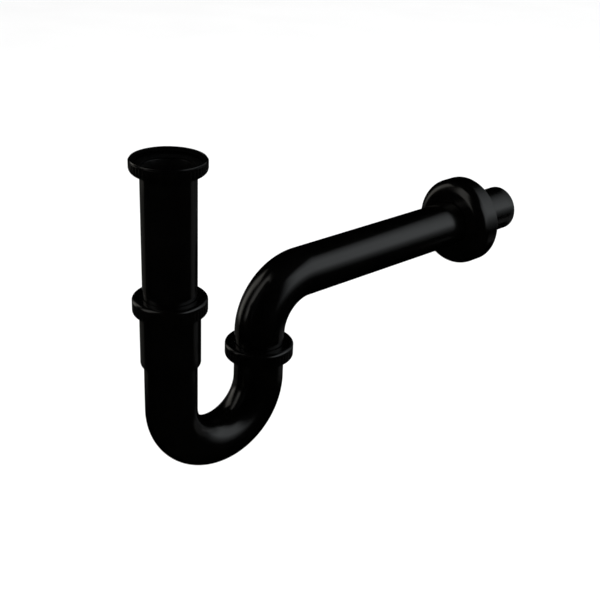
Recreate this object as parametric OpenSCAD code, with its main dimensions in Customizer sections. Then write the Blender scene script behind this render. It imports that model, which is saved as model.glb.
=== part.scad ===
// Tubular basin trap for a 1 1/4 in waste: dip tube, U-tube, swivelling outlet tube and wall flange.
// Millimetres. The origin is the centre of the inlet mouth, +Z runs up the dip tube,
// and the outlet tube points along +X to the wall.

/* [Tubes] */
// Outside diameter of the dip tube, the U-tube and the outlet tube
tube_d = 32; // [31.6:0.1:32.2]
// Wall thickness of the tubes
tube_wall = 1; // [0.8:0.1:1.2]

/* [Layout] */
// Depth of the slip nut's top face below the inlet mouth
slip_nut_depth = 83; // [70:0.2:86]
// Depth of the union nut's top face below the inlet mouth
union_nut_depth = 134; // [130:0.2:138]
// Depth at which the U-turn begins on both legs
u_start_depth = 159; // [154:0.5:170]
// Centreline radius of the U-turn, half the distance between the legs
u_radius = 34.3; // [32:0.1:42]
// Depth at which the outlet tube's bend begins
bend_start_depth = 127.5; // [124:0.5:128]
// Centreline radius of the outlet tube's bend
bend_radius = 32.9; // [30:0.1:36]
// Straight length of the outlet tube after its bend
outlet_len = 202.5; // [190:0.5:300]
// Distance from the end of the bend to the front face of the wall flange
flange_at = 145; // [20:0.5:150]

/* [Inlet socket] */
// Outside diameter of the socket that the dip tube slides into
socket_d = 36; // [35.6:0.1:37]
// Depth of the socket's lower edge below the inlet mouth
socket_end_depth = 127.5; // [124:0.5:130]
// How far the dip tube reaches below the slip nut's top face
dip_insert = 30; // [26:0.5:31]

/* [Nuts] */
// Outside diameter over the knurled band
nut_d = 44; // [43.6:0.1:46]
// Height of the slip nut and the union nut
nut_h = 9.6; // [9.4:0.1:13]
// Height of the rounded shoulder of these nuts
shoulder_h = 2; // [1.6:0.1:3.6]
// Height of the inlet nut
inlet_nut_h = 8.2; // [8.1:0.1:12]
// Thickness of the lip at the closed end of each nut
lip = 1.8; // [1.4:0.1:2]
// Minor diameter of the inlet nut's G 1 1/4 thread
thread_minor_d = 38.952; // [38.9:0.002:39]
// Pitch diameter of the thread between each nut and its collar
thread_pitch_d = 40.4; // [40.3:0.1:40.6]

/* [Wall flange] */
// Outside diameter of the wall flange
flange_d = 62.5; // [60:0.5:80]
// Depth of the wall flange from front face to rim
flange_h = 17.5; // [14:0.5:24]
// Wall thickness of the flange
flange_wall = 1.2; // [1:0.1:1.6]
// Radius of the flange's front shoulder
flange_round = 8; // [4:0.5:9]

/* [Hidden] */

black = [0.035, 0.035, 0.036];
rubber = [0.02, 0.02, 0.02];
nylon = [0.82, 0.82, 0.78];

tr = tube_d / 2;              // tube outside radius
ti = tr - tube_wall;          // tube bore radius
loose = 0.4;                  // radial room of a nut's lip round the tube
nr = nut_d / 2;
pr = thread_pitch_d / 2;      // nut side of the thread
cr = pr - 0.07;               // collar side of the thread
bead_r = 19.3;                // radius of the tubes' turned-out ends
bead_t = 1.2;                 // their thickness
ring_t = 1.4;                 // thickness of the slip rings
ring_r = 18.9;
seat_gap = 0.14;
gasket_t = 1.6;               // thickness of the union gasket
inlet_thread = 3.8;           // length of the inlet nut's thread
leg_x = 2 * u_radius;
axis_z = -bend_start_depth + bend_radius;
bend_end_x = leg_x + bend_radius;
flange_x = bend_end_x + flange_at;
$fn = 96;

// points of an arc or of a quarter of an ellipse, in n steps
function arc(cx, cy, rx, ry, a0, a1, n) =
    [for (i = [0:n]) let (a = a0 + (a1 - a0) * i / n) [cx + rx * cos(a), cy + ry * sin(a)]];

module tube_section() { difference() { circle(r = tr); circle(r = ti); } }

// a turned-out bead at the end of a tube, with a small root radius
module bead(z, r = bead_r) {
    translate([0, 0, z])
        rotate_extrude()
            polygon(concat([[ti, 0], [r - 0.4, 0], [r, -0.4], [r, -bead_t + 0.4], [r - 0.4, -bead_t],
                            [tr + 0.2, -bead_t]],
                           arc(tr + 0.2, -bead_t - 0.2, 0.2, 0.2, 90, 180, 2),
                           [[ti, -bead_t - 0.2]]));
}

// knurled nut with a rounded shoulder at its closed end, closed end up, top face at z = 0
module collar_nut(h) {
    rotate_extrude()
        polygon(concat(
            [[tr + loose, -lip], [tr + loose, -0.35], [tr + loose + 0.35, 0]],
            arc(nr - 2.8, -shoulder_h, 2.8, shoulder_h, 90, 0, 8),
            arc(nr - 1.1, -h + 1.4, 1.1, 1.4, 0, -90, 4),
            [[pr + 0.5, -h], [pr, -h + 0.5], [pr, -lip - ring_t], [ring_r + 0.1, -lip - ring_t],
             [ring_r + 0.1, -lip]]));
}

// flat slip ring under a nut's lip
module nut_ring() {
    translate([0, 0, -lip - ring_t])
        difference() {
            cylinder(r = ring_r, h = ring_t);
            translate([0, 0, -1]) cylinder(r = tr + 0.3, h = ring_t + 2);
        }
}

module inlet_nut() {
    h = inlet_nut_h;
    thread_l = inlet_thread;
    color(black)
        rotate_extrude()
            polygon(concat(
                [[thread_minor_d / 2, -thread_l], [thread_minor_d / 2, -0.4],
                 [thread_minor_d / 2 + 0.4, 0]],
                arc(nr - 1.6, -1.4, 1.2, 1.4, 90, 0, 4),
                [[nr, -1.9]],
                arc(nr - 3.4, -h + 3.4, 3.4, 3.4, 0, -90, 6),
                [[tr + loose, -h], [tr + loose, -h + lip], [bead_r + 1, -h + lip],
                 [bead_r + 1, -thread_l]]));
}

module inlet_washer() {
    t = inlet_nut_h - lip - bead_t - inlet_thread;
    color(rubber)
        translate([0, 0, -inlet_nut_h + lip + bead_t])
            rotate_extrude()
                polygon([[ti - 0.3, 0], [bead_r + 0.4, 0], [bead_r + 0.4, t - 0.4], [bead_r, t],
                         [ti, t], [ti - 0.3, t - 0.3]]);
}

module dip_tube() {
    top = -inlet_nut_h + lip + bead_t;
    bottom = -slip_nut_depth - dip_insert;
    color(black) {
        difference() {
            union() {
                translate([0, 0, bottom + 0.6]) cylinder(r = tr, h = top - bead_t - bottom - 0.6);
                translate([0, 0, bottom]) cylinder(r1 = tr - 0.5, r2 = tr, h = 0.6);
                bead(top);
            }
            translate([0, 0, bottom - 1]) cylinder(r = ti, h = top - bottom + 2);
        }
    }
}

module slip_nut() { color(black) translate([0, 0, -slip_nut_depth]) collar_nut(nut_h); }
module slip_ring() { color(nylon) translate([0, 0, -slip_nut_depth]) nut_ring(); }

// conical seal: flat on top, tapered below into the socket's mouth
module slip_seal() {
    t = lip + ring_t;
    color(rubber)
        translate([0, 0, -slip_nut_depth])
            rotate_extrude()
                polygon([[tr + 0.05, -t], [cr - 1.2, -t], [cr - 1.2, -t - 1.2 + seat_gap],
                         [tr + 0.45, -t - 3.9 + seat_gap], [tr + 0.05, -t - 3.9 + seat_gap]]);
}

// turned socket: threaded collar and conical seat on top, smooth sleeve below
module inlet_socket() {
    top = -slip_nut_depth - lip - ring_t - 1.2;
    low = -slip_nut_depth - nut_h + 0.3;
    stop = -slip_nut_depth - dip_insert - 3;
    sr = socket_d / 2;
    color(black)
        rotate_extrude()
            polygon(concat(
                [[cr - 1.0, top], [cr - 0.7, top], [cr, top - 0.7],
                 [cr, low + 0.6], [cr - 0.6, low], [sr + 0.4, low]],
                arc(sr + 0.4, low - 0.4, 0.4, 0.4, 90, 180, 3),
                [[sr, -socket_end_depth + 1.8]],
                arc(sr - 1.7, -socket_end_depth + 1.8, 1.7, 1.8, 0, -90, 6),
                [[tr, -socket_end_depth], [tr, stop], [tr + 0.3, stop],
                 [tr + 0.3, top - 2.95]]));
}

// one bent tube: inlet leg, U-turn and outlet leg
module u_tube() {
    inlet_top = -slip_nut_depth - dip_insert - 3;
    outlet_top = -union_nut_depth - lip - ring_t - bead_t - gasket_t;
    color(black) {
        translate([0, 0, -u_start_depth])
            linear_extrude(height = inlet_top + u_start_depth) tube_section();
        translate([u_radius, 0, -u_start_depth])
            rotate([-90, 0, 0])
                rotate_extrude(angle = 180) translate([u_radius, 0]) tube_section();
        translate([leg_x, 0, -u_start_depth])
            linear_extrude(height = outlet_top + u_start_depth) tube_section();
    }
}

// threaded collar on the U-tube's outlet leg
module union_collar() {
    top = -union_nut_depth - lip - ring_t - bead_t - gasket_t;
    low = -union_nut_depth - nut_h + 0.3;
    color(black)
        translate([leg_x, 0, 0])
            rotate_extrude()
                polygon([[tr, top], [cr - 0.7, top], [cr, top - 0.7], [cr, low + 0.6],
                         [cr - 0.6, low], [tr, low]]);
}

module union_nut() { color(black) translate([leg_x, 0, -union_nut_depth]) collar_nut(nut_h); }
module union_ring() { color(nylon) translate([leg_x, 0, -union_nut_depth]) nut_ring(); }

module union_gasket() {
    color(rubber)
        translate([leg_x, 0, -union_nut_depth - lip - ring_t - bead_t - gasket_t])
            difference() {
                cylinder(r = bead_r - 0.1, h = gasket_t);
                translate([0, 0, -1]) cylinder(r = ti, h = 4);
            }
}

// outlet tube: beaded end under the union nut, quarter bend, long straight tube
module outlet_tube() {
    bottom = -union_nut_depth - lip - ring_t - bead_t;
    mark_x = flange_x + flange_h - 0.8;
    color(black)
        difference() {
            union() {
                translate([leg_x, 0, bottom + bead_t])
                    cylinder(r = tr, h = -bend_start_depth - bottom - bead_t);
                translate([leg_x, 0, bottom]) mirror([0, 0, 1]) bead(0);
                translate([bend_end_x, 0, -bend_start_depth])
                    rotate([90, 0, 0]) rotate([0, 0, 90])
                        rotate_extrude(angle = 90) translate([bend_radius, 0]) circle(r = tr);
                translate([bend_end_x, 0, axis_z])
                    rotate([0, 90, 0]) cylinder(r = tr, h = outlet_len - 0.8);
                translate([bend_end_x + outlet_len - 0.8, 0, axis_z])
                    rotate([0, 90, 0]) cylinder(r1 = tr, r2 = tr - 0.6, h = 0.8);
            }
            translate([leg_x, 0, bottom - 1]) cylinder(r = ti, h = -bend_start_depth - bottom + 1);
            translate([bend_end_x, 0, -bend_start_depth])
                rotate([90, 0, 0]) rotate([0, 0, 90])
                    rotate_extrude(angle = 90) translate([bend_radius, 0]) circle(r = ti);
            translate([bend_end_x, 0, axis_z])
                rotate([0, 90, 0]) cylinder(r = ti, h = outlet_len + 1);
            // shallow ring that marks how far the tube goes into the wall socket
            translate([mark_x, 0, axis_z])
                rotate([0, 90, 0])
                    difference() {
                        cylinder(r = tr + 1, h = 0.8);
                        translate([0, 0, -1]) cylinder(r = tr - 0.25, h = 3);
                    }
        }
}

// drawn cup with a rounded front shoulder and an inner neck that holds the grip ring
module wall_flange() {
    w = flange_wall;
    fr = flange_d / 2;
    q = flange_round;
    neck = tr + 3;
    color(black)
        translate([flange_x, 0, axis_z])
            rotate([0, 90, 0])
                rotate_extrude()
                    polygon(concat(
                        [[tr + loose, 0.4], [tr + loose + 0.4, 0]],
                        arc(fr - q, q, q, q, -90, 0, 9),
                        [[fr, flange_h], [fr - w, flange_h]],
                        arc(fr - q, q, q - w, q - w, 0, -90, 9),
                        [[neck + 1, w], [neck + 1, 8.2], [neck - 0.5, 8.2], [neck - 0.5, 7.4], [neck, 7.2],
                         [neck, w], [tr + loose, w]]));
}

// rubber ring that holds the wall flange where it is pushed to
module flange_grip() {
    color(rubber)
        translate([flange_x + flange_wall + 0.1, 0, axis_z])
            rotate([0, 90, 0])
                rotate_extrude()
                    polygon([[tr + 0.05, 0.8], [tr + 0.6, 0], [tr + 2.4, 0], [tr + 2.9, 0.5],
                             [tr + 2.9, 5.0], [tr + 2.4, 5.6], [tr + 0.6, 5.6], [tr + 0.05, 4.8]]);
}

inlet_nut();
inlet_washer();
dip_tube();
slip_nut();
slip_ring();
slip_seal();
inlet_socket();
u_tube();
union_collar();
union_nut();
union_ring();
union_gasket();
outlet_tube();
wall_flange();
flange_grip();
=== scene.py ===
# Looks of a tubular basin trap: turned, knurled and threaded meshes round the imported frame,
# satin black lacquer, rubber and nylon, with a pale floor and soft studio light.
import math

import bpy
import numpy as np
from mathutils import Matrix, Vector


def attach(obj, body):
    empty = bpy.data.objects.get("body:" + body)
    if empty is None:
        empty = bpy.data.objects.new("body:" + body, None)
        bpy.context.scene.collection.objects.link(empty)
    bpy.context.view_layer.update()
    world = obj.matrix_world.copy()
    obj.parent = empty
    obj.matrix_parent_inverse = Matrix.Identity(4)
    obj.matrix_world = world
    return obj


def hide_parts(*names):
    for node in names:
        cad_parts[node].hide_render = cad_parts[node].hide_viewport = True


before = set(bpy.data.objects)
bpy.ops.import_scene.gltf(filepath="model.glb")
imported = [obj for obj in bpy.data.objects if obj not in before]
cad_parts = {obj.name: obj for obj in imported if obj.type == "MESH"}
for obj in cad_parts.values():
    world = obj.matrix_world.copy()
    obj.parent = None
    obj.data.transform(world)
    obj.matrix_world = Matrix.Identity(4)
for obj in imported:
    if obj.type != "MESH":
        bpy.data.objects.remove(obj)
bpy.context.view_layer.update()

# ---------------------------------------------------------------- sizes, mm
MM = 0.001
TUBE_R, BORE_R = 16.0, 15.0
LIP, RING_T, BEAD_T, GASKET_T = 1.8, 1.4, 1.2, 1.6
NUT_R, NUT_H, SHOULDER, SHOULDER_W = 22.0, 9.6, 2.0, 2.8
INLET_H, INLET_THREAD, MINOR_R = 8.2, 3.8, 19.476
BEAD_R, RING_R, PITCH_R = 19.3, 18.9, 20.2
COLLAR_R = PITCH_R - 0.07
SLIP_Z, UNION_Z = -83.0, -134.0
U_Z, U_R = -159.0, 34.3
LEG_X = 2 * U_R
BEND_Z, BEND_R = -127.5, 32.9
AXIS_Z = BEND_Z + BEND_R
BEND_X = LEG_X + BEND_R
END_X = BEND_X + 202.5
FLANGE_X, FLANGE_R, FLANGE_H, FLANGE_W = BEND_X + 145.0, 31.25, 17.5, 1.2
FLANGE_Q, FLANGE_D = 8.0, 8.0
SOCKET_R, SOCKET_LOW = 18.0, -127.5
DIP_LOW = SLIP_Z - 30.0
THREAD_P = 25.4 / 11
RIDGES = 52


# ---------------------------------------------------------------- profiles
def arc(cx, cy, rx, ry, a0, a1, n):
    t = np.radians(np.linspace(a0, a1, n + 1))
    return [(cx + rx * math.cos(a), cy + ry * math.sin(a)) for a in t]


def steps(a, b, n):
    return list(np.linspace(a, b, n + 1))


def soften(pts, cuts, n=3):
    """Rounds the named corners of a closed outline: cuts is {index: radius}."""
    out = []
    m = len(pts)
    for i, p in enumerate(pts):
        r = cuts.get(i, 0)
        if r <= 0:
            out.append(p)
            continue
        p = np.array(p[:2], float)
        a = np.array(pts[i - 1][:2], float) - p
        b = np.array(pts[(i + 1) % m][:2], float) - p
        la, lb = np.linalg.norm(a), np.linalg.norm(b)
        a, b = a / la, b / lb
        half = math.acos(max(-1.0, min(1.0, float(a @ b)))) / 2
        d = min(r / math.tan(half), la * 0.48, lb * 0.48)
        rr = d * math.tan(half)
        c = p + (a + b) / np.linalg.norm(a + b) * rr / math.sin(half)
        u, v = p + a * d - c, p + b * d - c
        ang = math.acos(max(-1.0, min(1.0, float(u @ v) / rr ** 2)))
        for k in range(n + 1):
            f = k / n
            w = (math.sin((1 - f) * ang) * u + math.sin(f * ang) * v) / math.sin(ang)
            out.append(tuple(c + w))
    return out


# ---------------------------------------------------------------- paths
def straight(origin, axis):
    """A straight path: s runs along the axis from the origin."""
    o = np.array(origin, float)
    t = {"x": (1, 0, 0), "z": (0, 0, 1)}[axis]
    a = {"x": (0, 1, 0), "z": (1, 0, 0)}[axis]
    b = {"x": (0, 0, 1), "z": (0, 1, 0)}[axis]
    t, a, b = (np.array(v, float) for v in (t, a, b))

    def at(s):
        return o + s * t, a, b
    return at


def u_path(top_a):
    """Down the inlet leg, round the U-turn, up the outlet leg."""
    l1 = top_a - U_Z
    l2 = math.pi * U_R
    b = np.array((0.0, 1.0, 0.0))

    def at(s):
        if s <= l1:
            return np.array((0.0, 0.0, top_a - s)), np.array((-1.0, 0.0, 0.0)), b
        if s >= l1 + l2:
            return np.array((LEG_X, 0.0, U_Z + s - l1 - l2)), np.array((1.0, 0.0, 0.0)), b
        f = (s - l1) / U_R
        a = np.array((-math.cos(f), 0.0, -math.sin(f)))
        return np.array((U_R, 0.0, U_Z)) + U_R * a, a, b
    return at, l1, l2


def outlet_path(bottom):
    """Up from the beaded end, through the quarter bend, out along X."""
    l1 = BEND_Z - bottom
    l2 = math.pi / 2 * BEND_R
    b = np.array((0.0, 1.0, 0.0))

    def at(s):
        if s <= l1:
            return np.array((LEG_X, 0.0, bottom + s)), np.array((1.0, 0.0, 0.0)), b
        if s >= l1 + l2:
            return np.array((BEND_X + s - l1 - l2, 0.0, AXIS_Z)), np.array((0.0, 0.0, -1.0)), b
        f = (s - l1) / BEND_R
        a = np.array((math.cos(f), 0.0, -math.sin(f)))
        return np.array((BEND_X, 0.0, BEND_Z)) - BEND_R * a, a, b
    return at, l1, l2


# ---------------------------------------------------------------- meshes
def make_mesh(name, verts, quads, inner, crest, mats):
    me = bpy.data.meshes.new(name)
    nf = len(quads)
    me.vertices.add(len(verts))
    me.vertices.foreach_set("co", verts.astype(np.float32).ravel())
    me.loops.add(nf * 4)
    me.loops.foreach_set("vertex_index", quads.astype(np.int32).ravel())
    me.polygons.add(nf)
    me.polygons.foreach_set("loop_start", np.arange(0, nf * 4, 4, dtype=np.int32))
    for m in mats:
        me.materials.append(m)
    me.polygons.foreach_set("material_index", inner.astype(np.int32))
    me.polygons.foreach_set("use_smooth", np.ones(nf, dtype=bool))
    me.update(calc_edges=True)
    me.validate()
    att = me.attributes.new("crest", "FLOAT", "POINT")
    att.data.foreach_set("value", crest.astype(np.float32))
    me.set_sharp_from_angle(angle=math.radians(34))
    ob = bpy.data.objects.new(name, me)
    bpy.context.scene.collection.objects.link(ob)
    return ob


def turned(name, prof, path, n, mats, body, node, knurl=None, thread=None, bore=None):
    """Sweeps a closed outline of (r, s) round a path.
    knurl(r, s) and thread(r, s) give each outline point's share of the ridges and of the turns;
    bore(r, s) says which faces take the second material."""
    pts = [p for i, p in enumerate(prof)
           if math.hypot(p[0] - prof[i - 1][0], p[1] - prof[i - 1][1]) > 1e-4]
    area = sum(pts[i - 1][0] * pts[i][1] - pts[i][0] * pts[i - 1][1] for i in range(len(pts)))
    if area < 0:
        pts = pts[::-1]
    m = len(pts)
    th = np.arange(n) * 2 * math.pi / n
    ridge = np.abs(np.sin(th * RIDGES / 2))
    rr = np.array([p[0] for p in pts])[:, None] + np.zeros(n)[None, :]
    crest = np.zeros((m, n))
    if knurl:
        share = np.array([knurl[1](p[0], p[1]) for p in pts])[:, None]
        rr -= share * knurl[0] * (1 - ridge[None, :] ** 0.8)
        crest += share * (ridge[None, :] - 0.4)
    cos, sin = np.cos(th), np.sin(th)
    verts = np.zeros((m, n, 3))
    for i, p in enumerate(pts):
        c, a, b = path(p[1])
        if thread:
            z = c[2]
            share = thread[1](p[0], p[1])
            if share:
                ph = (z / THREAD_P - th / (2 * math.pi)) % 1.0
                tri = 1 - 4 * np.abs(ph - 0.5)
                rr[i] += share * thread[0] * np.clip(tri * 1.25, -1, 1)
        verts[i] = c + rr[i][:, None] * (cos[:, None] * a + sin[:, None] * b)
    idx = np.arange(m * n).reshape(m, n)
    nxt = np.roll(idx, -1, axis=0)
    quads = np.stack([idx, np.roll(idx, -1, 1), np.roll(nxt, -1, 1), nxt], -1).reshape(-1, 4)
    inner = np.zeros((m, n), int)
    if bore:
        for i in range(m):
            p, q = pts[i], pts[(i + 1) % m]
            if bore((p[0] + q[0]) / 2, (p[1] + q[1]) / 2):
                inner[i] = 1
    ob = make_mesh(name, verts.reshape(-1, 3) * MM, quads, inner.ravel(), crest.ravel(), mats)
    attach(ob, body)
    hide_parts(node)
    return ob


# ---------------------------------------------------------------- materials
def new_mat(name):
    mat = bpy.data.materials.new(name)
    mat.use_nodes = True
    nt = mat.node_tree
    return mat, nt, nt.nodes["Principled BSDF"]


def node(nt, kind, **props):
    n = nt.nodes.new(kind)
    for k, v in props.items():
        setattr(n, k, v)
    return n


def noise(nt, co, scale, detail=2.0, rough=0.5):
    n = node(nt, "ShaderNodeTexNoise")
    n.inputs["Scale"].default_value = scale
    n.inputs["Detail"].default_value = detail
    n.inputs["Roughness"].default_value = rough
    nt.links.new(co, n.inputs["Vector"])
    return n.outputs["Fac"]


def spread(nt, value, lo, hi, a=0.3, b=0.7):
    n = node(nt, "ShaderNodeMapRange")
    n.inputs["From Min"].default_value = a
    n.inputs["From Max"].default_value = b
    n.inputs["To Min"].default_value = lo
    n.inputs["To Max"].default_value = hi
    nt.links.new(value, n.inputs["Value"])
    return n.outputs["Result"]


def ramp(nt, value, stops):
    n = node(nt, "ShaderNodeValToRGB")
    while len(n.color_ramp.elements) < len(stops):
        n.color_ramp.elements.new(0.5)
    for e, (pos, col) in zip(n.color_ramp.elements, stops):
        e.position = pos
        e.color = (*col, 1)
    nt.links.new(value, n.inputs["Fac"])
    return n.outputs["Color"]


def maths(nt, op, a, b):
    n = node(nt, "ShaderNodeMath", operation=op)
    for i, v in enumerate((a, b)):
        if isinstance(v, (int, float)):
            n.inputs[i].default_value = v
        else:
            nt.links.new(v, n.inputs[i])
    return n.outputs[0]


def bump(nt, height, strength, distance, under=None):
    n = node(nt, "ShaderNodeBump")
    n.inputs["Strength"].default_value = strength
    n.inputs["Distance"].default_value = distance
    nt.links.new(height, n.inputs["Height"])
    if under is not None:
        nt.links.new(under, n.inputs["Normal"])
    return n.outputs["Normal"]


def lacquer(name, rough, swing, peel=0.16, fine=0.10, dust=True):
    """Satin black lacquer: orange peel, fine grain, a little dust, edges a touch more polished."""
    mat, nt, bsdf = new_mat(name)
    co = node(nt, "ShaderNodeTexCoord").outputs["Object"]
    crest = node(nt, "ShaderNodeAttribute", attribute_name="crest").outputs["Fac"]
    cloud = noise(nt, co, 38, 3, 0.55)
    nt.links.new(ramp(nt, cloud, [(0.30, (0.0003, 0.0003, 0.00034)), (0.52, (0.0005, 0.0005, 0.0005)),
                                  (0.75, (0.0009, 0.00086, 0.00086))]), bsdf.inputs["Base Color"])
    r1 = spread(nt, noise(nt, co, 120, 4, 0.6), rough - swing, rough + swing)
    r2 = spread(nt, noise(nt, co, 2600, 2, 0.5), -0.018, 0.018)
    r = maths(nt, "ADD", r1, r2)
    r = maths(nt, "SUBTRACT", r, maths(nt, "MULTIPLY", crest, 0.05))
    if dust:
        vor = node(nt, "ShaderNodeTexVoronoi")
        vor.inputs["Scale"].default_value = 420
        nt.links.new(co, vor.inputs["Vector"])
        speck = spread(nt, vor.outputs["Distance"], 0.16, 0.0, 0.03, 0.07)
        r = maths(nt, "ADD", r, speck)
    nt.links.new(r, bsdf.inputs["Roughness"])
    bsdf.inputs["Specular IOR Level"].default_value = 0.5
    n1 = bump(nt, noise(nt, co, 640, 2, 0.45), peel, 0.00004)
    n2 = bump(nt, noise(nt, co, 5200, 1, 0.5), fine, 0.00001, n1)
    nt.links.new(n2, bsdf.inputs["Normal"])
    return mat


def brass(name):
    """Drawn brass inside a tube, black where the lacquer reached in from the open ends."""
    mat, nt, bsdf = new_mat(name)
    co = node(nt, "ShaderNodeTexCoord").outputs["Object"]
    reach = node(nt, "ShaderNodeAttribute", attribute_name="overspray").outputs["Fac"]
    edge = maths(nt, "ADD", reach, spread(nt, noise(nt, co, 260, 4, 0.6), -0.22, 0.22))
    cover = spread(nt, edge, 1.0, 0.0, 0.35, 0.75)
    tint = ramp(nt, noise(nt, co, 90, 5, 0.62),
                [(0.28, (0.34, 0.215, 0.075)), (0.55, (0.47, 0.31, 0.115)), (0.8, (0.30, 0.175, 0.075))])
    black = ramp(nt, noise(nt, co, 55, 3, 0.5), [(0.3, (0.0008, 0.0008, 0.0008)), (0.8, (0.0018, 0.0018, 0.0018))])
    mix = node(nt, "ShaderNodeMix", data_type="RGBA")
    nt.links.new(cover, mix.inputs["Factor"])
    nt.links.new(tint, mix.inputs[6])
    nt.links.new(black, mix.inputs[7])
    nt.links.new(mix.outputs[2], bsdf.inputs["Base Color"])
    nt.links.new(spread(nt, cover, 1.0, 0.0, 0.0, 1.0), bsdf.inputs["Metallic"])
    nt.links.new(spread(nt, noise(nt, co, 700, 3, 0.6), 0.30, 0.52), bsdf.inputs["Roughness"])
    n1 = bump(nt, noise(nt, co, 1500, 3, 0.6), 0.2, 0.00003)
    nt.links.new(n1, bsdf.inputs["Normal"])
    return mat


def rubber(name, tone=0.0012, shine=0.07):
    mat, nt, bsdf = new_mat(name)
    co = node(nt, "ShaderNodeTexCoord").outputs["Object"]
    nt.links.new(ramp(nt, noise(nt, co, 160, 4, 0.6),
                      [(0.3, (tone * 0.75,) * 3), (0.6, (tone, tone, tone * 1.04)), (0.85, (tone * 1.5,) * 3)]),
                 bsdf.inputs["Base Color"])
    nt.links.new(spread(nt, noise(nt, co, 900, 3, 0.6), 0.66, 0.84), bsdf.inputs["Roughness"])
    bsdf.inputs["Specular IOR Level"].default_value = shine
    n1 = bump(nt, noise(nt, co, 2400, 3, 0.65), 0.35, 0.00004)
    nt.links.new(n1, bsdf.inputs["Normal"])
    return mat


def nylon(name):
    mat, nt, bsdf = new_mat(name)
    co = node(nt, "ShaderNodeTexCoord").outputs["Object"]
    nt.links.new(ramp(nt, noise(nt, co, 110, 3, 0.5),
                      [(0.3, (0.63, 0.62, 0.55)), (0.6, (0.72, 0.71, 0.65)), (0.85, (0.77, 0.76, 0.71))]),
                 bsdf.inputs["Base Color"])
    nt.links.new(spread(nt, noise(nt, co, 500, 3, 0.6), 0.34, 0.50), bsdf.inputs["Roughness"])
    bsdf.inputs["Subsurface Weight"].default_value = 0.25
    bsdf.inputs["Subsurface Radius"].default_value = (0.0012, 0.0010, 0.0008)
    n1 = bump(nt, noise(nt, co, 1300, 2, 0.5), 0.15, 0.00003)
    nt.links.new(n1, bsdf.inputs["Normal"])
    return mat


M_TUBE = lacquer("lacquer_tube", 0.165, 0.02)
M_NUT = lacquer("lacquer_turned", 0.19, 0.02, peel=0.10, fine=0.08, dust=False)
M_FLANGE = lacquer("lacquer_drawn", 0.18, 0.02)
M_BORE = brass("brass_bore")
# inlet nut's inner thread: the near-black tone is the lacquer's own, but it is made dull and barely reflective so the
# nut's mouth reads dark: painted shade in the recess
M_THREAD_SHADE = rubber("thread_painted_shade", 0.0004, 0.05)
M_RUBBER = rubber("sealing_rubber")
M_NYLON = nylon("nylon_ring")


# ---------------------------------------------------------------- nuts
def collar_nut_outline(z0):
    """Closed end up; returns the outline and the shares of knurl and thread along it."""
    h = NUT_H
    top_band, low_band = -SHOULDER - 0.12, -h + 1.4
    pts = [(TUBE_R + 0.4, -LIP), (TUBE_R + 0.4, -0.12)]
    pts += arc(TUBE_R + 0.52, -0.12, 0.12, 0.12, 180, 90, 2)
    pts += [(TUBE_R + 0.9, 0.0), (NUT_R - SHOULDER_W, 0.0)]
    pts += arc(NUT_R - SHOULDER_W, -SHOULDER, SHOULDER_W, SHOULDER, 86, 2, 20)
    pts += [(NUT_R, top_band)]
    pts += [(NUT_R, z) for z in steps(top_band - 0.22, low_band, 6)]
    pts += arc(NUT_R - 1.1, -h + 1.4, 1.1, 1.4, -8, -90, 9)
    pts += [(PITCH_R + 0.62, -h)]
    mouth, root = -h + 0.62, -LIP - RING_T - 0.75
    pts += [(PITCH_R + 0.12, -h + 0.45)]
    pts += [(PITCH_R, z) for z in steps(mouth, root, 34)]
    pts += [(PITCH_R + 0.28, root + 0.12), (PITCH_R + 0.28, -LIP - RING_T)]
    pts += [(RING_R + 0.1, -LIP - RING_T), (RING_R + 0.1, -LIP)]

    def knurl(r, s):
        z = s - z0
        if r < NUT_R - 1.12 or z > top_band + 1e-6:
            return 0.0
        up = min(1.0, (top_band - z) / 0.22)
        down = min(1.0, max(0.0, (z + h - 0.12) / 1.0))
        return up * down

    def thread(r, s):
        z = s - z0
        if r > PITCH_R + 0.05 or z < mouth - 1e-6 or z > root + 1e-6 or r < PITCH_R - 0.05:
            return 0.0
        return min(1.0, (z - mouth) / 0.7, (root - z) / 0.5)
    return [(r, s + z0) for r, s in pts], knurl, thread


def inlet_nut_outline():
    """Open end up, a narrow smooth crest above the knurled band, lower edge rounded in to the tube."""
    h = INLET_H
    band_top, low = -1.1, -h + 3.4
    pts = [(MINOR_R + 0.72, -INLET_THREAD + 0.0)]
    pts += [(MINOR_R + 0.72, z) for z in steps(-INLET_THREAD + 0.12, -0.62, 30)]
    pts += [(MINOR_R + 0.95, -0.20)]
    pts += arc(NUT_R - 1.25, -0.22, 0.22, 0.20, 180, 90, 3)
    pts += arc(NUT_R - 0.95, -0.40, 0.40, 0.40, 90, 10, 6)
    pts += [(NUT_R - 0.54, -0.6), (NUT_R - 0.5, -0.78), (NUT_R - 0.12, -0.98), (NUT_R, band_top)]
    pts += [(NUT_R, z) for z in steps(band_top - 0.2, low, 5)]
    pts += arc(NUT_R - 3.4, -h + 3.4, 3.4, 3.4, -6, -90, 14)
    pts += [(TUBE_R + 0.75, -h)]
    pts += arc(TUBE_R + 0.75, -h + 0.35, 0.35, 0.35, -90, -180, 4)
    pts += [(TUBE_R + 0.4, -h + LIP), (BEAD_R + 1.0, -h + LIP), (BEAD_R + 1.0, -INLET_THREAD)]

    def knurl(r, s):
        if s > band_top + 1e-6 or r < NUT_R - 2.2:
            return 0.0
        up = min(1.0, (band_top - s) / 0.2)
        down = min(1.0, max(0.0, (s + h - 0.55) / 1.3))
        return up * down

    def thread(r, s):
        if abs(r - MINOR_R - 0.72) > 0.01 or s < -INLET_THREAD + 0.11:
            return 0.0
        return min(1.0, max(0.0, (s + INLET_THREAD - 0.12) / 0.5), max(0.0, (-0.62 - s) / 0.5))
    return pts, knurl, thread


Z_AXIS = straight((0, 0, 0), "z")
LEG_AXIS = straight((LEG_X, 0, 0), "z")
N_NUT = RIDGES * 10

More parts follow.
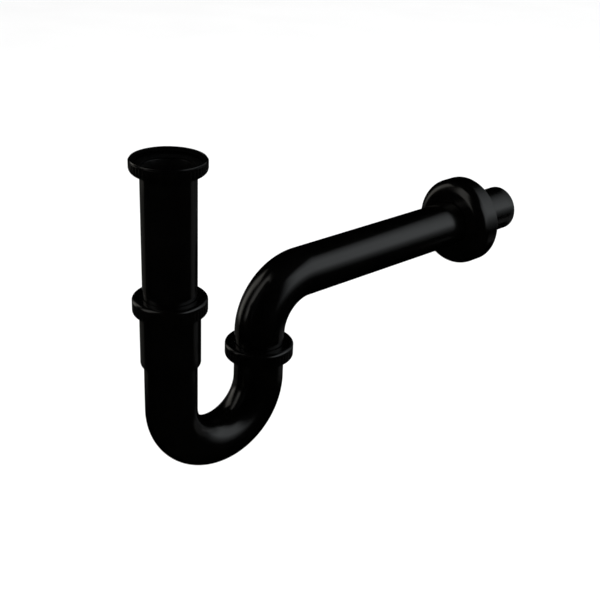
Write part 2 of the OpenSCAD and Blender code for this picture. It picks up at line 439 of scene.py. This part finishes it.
pts, kn, tw = inlet_nut_outline()
# faces inside the inlet nut's mouth take the dull black thread material, which is painted shade there
turned("inlet_nut_turned", pts, Z_AXIS, N_NUT, [M_NUT, M_THREAD_SHADE], "inlet_nut", "inlet_nut",
       knurl=(0.6, kn), thread=(0.66, tw), bore=lambda r, s: r < BEAD_R + 1.3 and -INLET_H + LIP - 0.1 < s < -0.35)
pts, kn, tw = collar_nut_outline(SLIP_Z)
turned("slip_nut_turned", pts, Z_AXIS, N_NUT, [M_NUT], "slip_nut", "slip_nut",
       knurl=(0.55, kn), thread=(0.46, tw))
pts, kn, tw = collar_nut_outline(UNION_Z)
turned("union_nut_turned", pts, LEG_AXIS, N_NUT, [M_NUT], "union_nut", "union_nut",
       knurl=(0.55, kn), thread=(0.46, tw))


# ---------------------------------------------------------------- tubes
def overspray(ob, ends, depth=42.0):
    """Writes how far each point is from the nearest open end, 0 at the end to 1 at full depth."""
    me = ob.data
    co = np.zeros(len(me.vertices) * 3, np.float32)
    me.vertices.foreach_get("co", co)
    co = co.reshape(-1, 3) / MM
    d = np.min([np.linalg.norm(co - np.array(e), axis=1) for e in ends], axis=0) if ends else \
        np.full(len(co), 999.0)
    att = me.attributes.new("overspray", "FLOAT", "POINT")
    att.data.foreach_set("value", np.clip((d - BORE_R) / depth, 0, 1).astype(np.float32))


def in_bore(r, s):
    return r < BORE_R + 0.02


# dip tube: beaded top, plain lower end
top = -INLET_H + LIP + BEAD_T
out = [(BORE_R, top - 0.3)] + arc(BORE_R + 0.3, top - 0.3, 0.3, 0.3, 180, 90, 3)
out += [(BEAD_R - 0.4, top)] + arc(BEAD_R - 0.4, top - 0.4, 0.4, 0.4, 90, 0, 3)
out += arc(BEAD_R - 0.4, top - BEAD_T + 0.4, 0.4, 0.4, 0, -90, 3)
out += arc(TUBE_R + 0.2, top - BEAD_T - 0.2, 0.2, 0.2, 90, 180, 3)
out += [(TUBE_R, z) for z in steps(top - 4, DIP_LOW + 0.6, 14)]
out += [(TUBE_R - 0.45, DIP_LOW + 0.05), (TUBE_R - 0.55, DIP_LOW), (BORE_R + 0.15, DIP_LOW), (BORE_R, DIP_LOW + 0.15)]
out += [(BORE_R, z) for z in steps(DIP_LOW + 4, top - 4, 14)]
ob = turned("dip_tube_drawn", out, Z_AXIS, 144, [M_TUBE, M_BORE], "inlet", "dip_tube", bore=in_bore)
overspray(ob, [(0, 0, 0)], 46)

# U-tube: one bent tube
u_top_a, u_top_b = DIP_LOW - 3.0, UNION_Z - LIP - RING_T - BEAD_T - GASKET_T
path, l1, l2 = u_path(u_top_a)
l3 = u_top_b - U_Z
stops = steps(0.3, l1, 5) + steps(l1, l1 + l2, 112)[1:] + steps(l1 + l2, l1 + l2 + l3 - 0.3, 4)[1:]
total = l1 + l2 + l3
out = [(TUBE_R - 0.25, 0)] + [(TUBE_R, s) for s in stops] + [(TUBE_R - 0.25, total), (BORE_R + 0.2, total)]
out += [(BORE_R, s) for s in stops[::-1]] + [(BORE_R + 0.2, 0)]
ob = turned("u_tube_bent", out, path, 144, [M_TUBE, M_BORE], "trap_bend", "u_tube", bore=in_bore)
overspray(ob, [(LEG_X, 0, u_top_b), (0, 0, u_top_a)], 22)

# outlet tube: beaded end, quarter bend, long straight run with an insertion mark and a bevelled end
bottom = UNION_Z - LIP - RING_T - BEAD_T
path, l1, l2 = outlet_path(bottom)
total = l1 + l2 + (END_X - BEND_X)
mark = total - (END_X - (FLANGE_X + FLANGE_H - 0.8))
out = arc(BORE_R + 0.3, 0.3, 0.3, 0.3, 180, 270, 3)
out += [(BEAD_R - 0.4, 0)] + arc(BEAD_R - 0.4, 0.4, 0.4, 0.4, -90, 0, 3)[1:]
out += arc(BEAD_R - 0.4, BEAD_T - 0.4, 0.4, 0.4, 0, 90, 3)
out += arc(TUBE_R + 0.2, BEAD_T + 0.2, 0.2, 0.2, 270, 180, 3)
out += [(TUBE_R, s) for s in steps(3.5, l1, 3)]
out += [(TUBE_R, s) for s in steps(l1, l1 + l2, 64)[1:]]
out += [(TUBE_R, s) for s in steps(l1 + l2, mark - 0.12, 20)[1:]]
out += [(TUBE_R - 0.06, mark - 0.02), (TUBE_R - 0.22, mark + 0.15), (TUBE_R - 0.25, mark + 0.4),
        (TUBE_R - 0.22, mark + 0.65), (TUBE_R - 0.06, mark + 0.82), (TUBE_R, mark + 0.92)]
out += [(TUBE_R, s) for s in steps(mark + 4, total - 0.9, 6)]
out += [(TUBE_R - 0.04, total - 0.72), (TUBE_R - 0.5, total - 0.1), (TUBE_R - 0.6, total),
        (BORE_R + 0.15, total), (BORE_R, total - 0.15)]
out += [(BORE_R, s) for s in steps(total - 4, l1 + l2, 24)]
out += [(BORE_R, s) for s in steps(l1 + l2, l1, 64)[1:]]
out += [(BORE_R, s) for s in steps(l1, 3.5, 3)[1:]]
ob = turned("outlet_tube_bent", out, path, 144, [M_TUBE, M_BORE], "outlet", "outlet_tube", bore=in_bore)
overspray(ob, [(END_X, 0, AXIS_Z)], 40)

# turned socket on the U-tube's inlet leg
top = SLIP_Z - LIP - RING_T - 1.2
low = SLIP_Z - NUT_H + 0.3
stop = DIP_LOW - 3.0
out = [(COLLAR_R - 1.0, top), (COLLAR_R - 0.75, top), (COLLAR_R - 0.05, top - 0.7)]
out += [(COLLAR_R - 0.05, z) for z in steps(top - 0.75, low + 0.62, 30)]
out += [(COLLAR_R - 0.6, low)]
out += arc(SOCKET_R + 0.4, low - 0.4, 0.4, 0.4, 90, 180, 4)
out += [(SOCKET_R, z) for z in steps(low - 3, SOCKET_LOW + 1.8, 6)]
out += arc(SOCKET_R - 1.6, SOCKET_LOW + 1.8, 1.6, 1.8, 0, -82, 10)
out += [(TUBE_R + 0.28, SOCKET_LOW + 0.02), (TUBE_R + 0.06, SOCKET_LOW + 0.0), (TUBE_R, SOCKET_LOW + 0.12)]
out += [(TUBE_R, stop), (TUBE_R + 0.3, stop), (TUBE_R + 0.3, top - 2.95)]


def socket_thread(r, s):
    if abs(r - COLLAR_R + 0.05) > 0.01 or s > top - 0.74 or s < low + 0.61:
        return 0.0
    return min(1.0, (top - 0.75 - s) / 0.5, (s - low - 0.62) / 0.7)


turned("inlet_socket_turned", out, Z_AXIS, 240, [M_NUT], "trap_bend", "inlet_socket",
       thread=(0.42, socket_thread))

# threaded collar on the outlet leg
c_top, c_low = u_top_b, UNION_Z - NUT_H + 0.3


def collar_thread(r, s):
    if abs(r - COLLAR_R + 0.05) > 0.01 or s > c_top - 0.64 or s < c_low + 0.54:
        return 0.0
    return min(1.0, (c_top - 0.65 - s) / 0.4, (s - c_low - 0.55) / 0.4)


out = [(TUBE_R, c_top - 0.1), (TUBE_R + 0.1, c_top), (COLLAR_R - 0.75, c_top), (COLLAR_R - 0.05, c_top - 0.6)]
out += [(COLLAR_R - 0.05, z) for z in steps(c_top - 0.65, c_low + 0.55, 22)]
out += [(COLLAR_R - 0.6, c_low), (TUBE_R, c_low)]
turned("union_collar_turned", out, LEG_AXIS, 240, [M_NUT], "trap_bend", "union_collar",
       thread=(0.42, collar_thread))

# ---------------------------------------------------------------- wall flange
w, q, d, fr, neck = FLANGE_W, FLANGE_Q, FLANGE_D, FLANGE_R, TUBE_R + 3
out = [(TUBE_R + 0.4, w), (TUBE_R + 0.4, 0.15)]
out += arc(TUBE_R + 0.55, 0.15, 0.15, 0.15, 180, 270, 2)
out += [(17.6, 0.0), (20.5, 0.0), (fr - q - 0.3, 0.0)]
out += arc(fr - q, d, q, d, -89, -1, 30)
out += [(fr, s) for s in steps(d + 0.6, FLANGE_H - 0.6, 5)]
out += arc(fr - 0.6, FLANGE_H - 0.6, 0.6, 0.6, 10, 170, 8)
out += [(fr - w, FLANGE_H - 0.8)] + [(fr - w, s) for s in steps(FLANGE_H - 3, d + 0.4, 3)]
out += arc(fr - q, d, q - w, d - w, 0, -90, 20)
out += arc(neck + 1.6, w + 0.6, 0.6, 0.6, -90, -180, 3)
out += [(neck + 1, s) for s in steps(2.6, 7.8, 3)]
out += arc(neck + 0.25, 7.75, 0.75, 0.45, 0, 90, 3) + [(neck - 0.5, 8.15), (neck - 0.5, 7.4), (neck, 7.2)]
out += [(neck, s) for s in steps(6.5, w + 0.3, 3)] + [(neck - 0.3, w)]
turned("wall_flange_drawn", out, straight((FLANGE_X, 0, AXIS_Z), "x"), 240, [M_FLANGE], "flange",
       "wall_flange")

# ---------------------------------------------------------------- rings and seals
def ring(name, pts, cuts, axis, body, nd, mat, n=160):
    turned(name, soften(pts, cuts), axis, n, [mat], body, nd)


for z0, ax, bd, nd in ((SLIP_Z, Z_AXIS, "slip_ring", "slip_ring"), (UNION_Z, LEG_AXIS, "union_ring", "union_ring")):
    a, b = z0 - LIP - RING_T, z0 - LIP
    ring(nd + "_moulded", [(TUBE_R + 0.3, a), (RING_R, a), (RING_R, b), (TUBE_R + 0.3, b)],
         {0: 0.2, 1: 0.3, 2: 0.3, 3: 0.2}, ax, bd, nd, M_NYLON)

t = SLIP_Z - LIP - RING_T
ring("slip_seal_moulded",
     [(TUBE_R + 0.05, t), (TUBE_R + 1.1, t), (TUBE_R + 1.35, t - 0.22), (TUBE_R + 1.6, t), (COLLAR_R - 1.2, t),
      (COLLAR_R - 1.2, t - 1.06), (TUBE_R + 0.47, t - 3.76), (TUBE_R + 0.05, t - 3.76),
      (TUBE_R + 0.05, t - 3.0), (TUBE_R + 0.2, t - 2.6), (TUBE_R + 0.05, t - 2.2), (TUBE_R + 0.05, t - 1.4),
      (TUBE_R + 0.2, t - 1.0), (TUBE_R + 0.05, t - 0.6)],
     {0: 0.15, 2: 0.1, 4: 0.25, 5: 0.25, 6: 0.15, 9: 0.1, 12: 0.1}, Z_AXIS, "slip_seal", "slip_seal", M_RUBBER)

g = UNION_Z - LIP - RING_T - BEAD_T - GASKET_T
gr = BEAD_R - 0.1
ring("union_gasket_cut",
     [(BORE_R, g), (gr, g), (gr, g + GASKET_T), (BORE_R, g + GASKET_T)],
     {0: 0.25, 1: 0.3, 2: 0.3, 3: 0.25}, LEG_AXIS, "trap_bend", "union_gasket", M_RUBBER)

wz = -INLET_H + LIP + BEAD_T
wt = -INLET_THREAD
ring("inlet_washer_moulded",
     [(BORE_R - 0.3, wz), (BEAD_R + 0.4, wz), (BEAD_R + 0.4, wt - 0.4), (BEAD_R, wt),
      (18.6, wt), (18.35, wt - 0.18), (18.1, wt), (17.2, wt), (16.95, wt - 0.18), (16.7, wt),
      (BORE_R, wt), (BORE_R - 0.3, wt - 0.3)],
     {0: 0.2, 1: 0.2, 3: 0.15, 5: 0.08, 8: 0.08, 10: 0.15}, Z_AXIS, "inlet", "inlet_washer", M_RUBBER)

g0 = TUBE_R
ring("flange_grip_moulded",
     [(g0 + 0.05, 0.8), (g0 + 0.6, 0), (g0 + 2.4, 0), (g0 + 2.9, 0.5), (g0 + 2.9, 2.3), (g0 + 2.65, 2.8),
      (g0 + 2.9, 3.3), (g0 + 2.9, 5.0), (g0 + 2.4, 5.6), (g0 + 0.6, 5.6), (g0 + 0.05, 4.8),
      (g0 + 0.05, 3.9), (g0 + 0.5, 3.3), (g0 + 0.5, 2.3), (g0 + 0.05, 1.7)],
     {1: 0.25, 2: 0.3, 5: 0.15, 8: 0.3, 9: 0.25, 12: 0.2, 13: 0.2},
     straight((FLANGE_X + FLANGE_W + 0.1, 0, AXIS_Z), "x"), "flange_grip", "flange_grip", M_RUBBER)


# ---------------------------------------------------------------- stage, light, camera
def floor_piece():
    n, rad = 96, 4.0
    rings = [0.0, 0.15, 0.3, 0.6, 1.0, 1.6, 2.5, rad]
    verts, faces = [], []
    for k, r in enumerate(rings[1:]):
        for j in range(n):
            a = 2 * math.pi * j / n
            verts.append((0.13 + r * math.cos(a), r * math.sin(a), FLOOR_Z))
    verts.append((0.13, 0, FLOOR_Z))
    c = len(verts) - 1
    for j in range(n):
        faces.append((c, j, (j + 1) % n))
    for k in range(len(rings) - 2):
        for j in range(n):
            a, b = k * n + j, k * n + (j + 1) % n
            faces.append((a, a + n, b + n, b))
    me = bpy.data.meshes.new("pale_floor")
    me.from_pydata(verts, [], faces)
    me.update()
    ob = bpy.data.objects.new("pale_floor", me)
    bpy.context.scene.collection.objects.link(ob)
    mat, nt, bsdf = new_mat("pale_paper")
    co = node(nt, "ShaderNodeTexCoord").outputs["Object"]
    nt.links.new(ramp(nt, noise(nt, co, 6, 3, 0.5), [(0.3, (0.90, 0.90, 0.90)), (0.7, (0.92, 0.92, 0.92))]),
                 bsdf.inputs["Base Color"])
    nt.links.new(spread(nt, noise(nt, co, 300, 2, 0.5), 0.85, 0.95), bsdf.inputs["Roughness"])
    bsdf.inputs["Specular IOR Level"].default_value = 0.1
    me.materials.append(mat)
    ob.visible_glossy = False
    return ob


FLOOR_Z = -0.30
floor_piece()

world = bpy.data.worlds.new("studio")
bpy.context.scene.world = world
world.use_nodes = True
bg = world.node_tree.nodes["Background"]
bg.inputs["Color"].default_value = (1.0, 1.0, 1.0, 1)
bg.inputs["Strength"].default_value = 1.06
world.cycles_visibility.glossy = False

TARGET = Vector((0.13, 0.0, -0.11))


def softbox(name, az, el, dist, width, height, radiance, colour=(1, 1, 1), spread_deg=180.0):
    """A flat area light that faces the part; width and height are degrees seen from the part."""
    a, e = math.radians(az), math.radians(el)
    d = Vector((math.cos(e) * math.cos(a), math.cos(e) * math.sin(a), math.sin(e)))
    la = bpy.data.lights.new(name, "AREA")
    la.shape = "RECTANGLE"
    la.size = 2 * dist * math.tan(math.radians(width / 2))
    la.size_y = 2 * dist * math.tan(math.radians(height / 2))
    la.energy = radiance * math.pi * la.size * la.size_y
    la.color = colour
    la.spread = math.radians(spread_deg)
    ob = bpy.data.objects.new(name, la)
    ob.location = TARGET + d * dist
    ob.rotation_euler = d.to_track_quat("Z", "Y").to_euler()
    ob.visible_camera = False
    bpy.context.scene.collection.objects.link(ob)
    return ob


# the key: eight sheets, one in front of the other, that fade towards the edges
for k, (a0, a1, e0, e1, power) in enumerate((
        (-92, 20, -12, 44, 0.06), (-90, 12, -7, 50, 0.07), (-88, 0, -3, 54, 0.10), (-86, -10, 1, 55, 0.13),
        (-84, -18, 5, 53, 0.155), (-82, -24, 8, 49, 0.17), (-79, -30, 11, 44, 0.18), (-74, -35, 15, 39, 0.15))):
    softbox("key_%d" % k, (a0 + a1) / 2, (e0 + e1) / 2, 1.75 - 0.02 * k, a1 - a0, e1 - e0, 0.93 * power, (0.93, 0.98, 1.0))
softbox("rim_left", 113, 14, 1.5, 18, 50, 0.48, (1.0, 0.97, 0.88))
softbox("rim_left_soft", 113, 13, 1.53, 28, 56, 0.24, (1.0, 0.97, 0.88))
softbox("rim_left_low", 108, -6, 1.56, 30, 50, 0.055, (1.0, 0.97, 0.90))
softbox("rim_left_high", 161, 31, 1.6, 24, 60, 0.50, (1.0, 0.99, 0.93))
softbox("rim_left_high_soft", 161, 30, 1.63, 36, 68, 0.20, (1.0, 0.99, 0.93))
softbox("low_right", -6, -21, 1.6, 46, 24, 0.07, (1.0, 1.0, 1.0))
softbox("low_left", 76, -20, 1.6, 14, 22, 0.11, (1.0, 1.0, 1.0))
softbox("front_low", 2, 0, 1.6, 30, 34, 0.10, (1.0, 1.0, 1.0))

# camera, from the fit to the photograph's outline
C = (-309.78, -444.18, 176.06)
YAW, PITCH, ROLL, F_PX = math.radians(47.13), math.radians(-25.68), math.radians(2.76), 1030.31
fwd = Vector((math.cos(PITCH) * math.cos(YAW), math.cos(PITCH) * math.sin(YAW), math.sin(PITCH)))
right = Vector((math.sin(YAW), -math.cos(YAW), 0))
up = right.cross(fwd)
r2 = right * math.cos(ROLL) + up * math.sin(ROLL)
u2 = -right * math.sin(ROLL) + up * math.cos(ROLL)
cam_data = bpy.data.cameras.new("photo_camera")
cam_data.sensor_width = 36.0
cam_data.lens = F_PX * 36.0 / 600.0
cam_data.clip_start, cam_data.clip_end = 0.01, 20.0
cam_data.dof.use_dof = False
cam = bpy.data.objects.new("photo_camera", cam_data)
m = Matrix((r2, u2, -fwd)).transposed().to_4x4()
m.translation = Vector(C) * MM
cam.matrix_world = m
bpy.context.scene.collection.objects.link(cam)
bpy.context.scene.camera = cam
bpy.context.scene.view_settings.view_transform = "Standard"
bpy.context.scene.view_settings.look = "None"
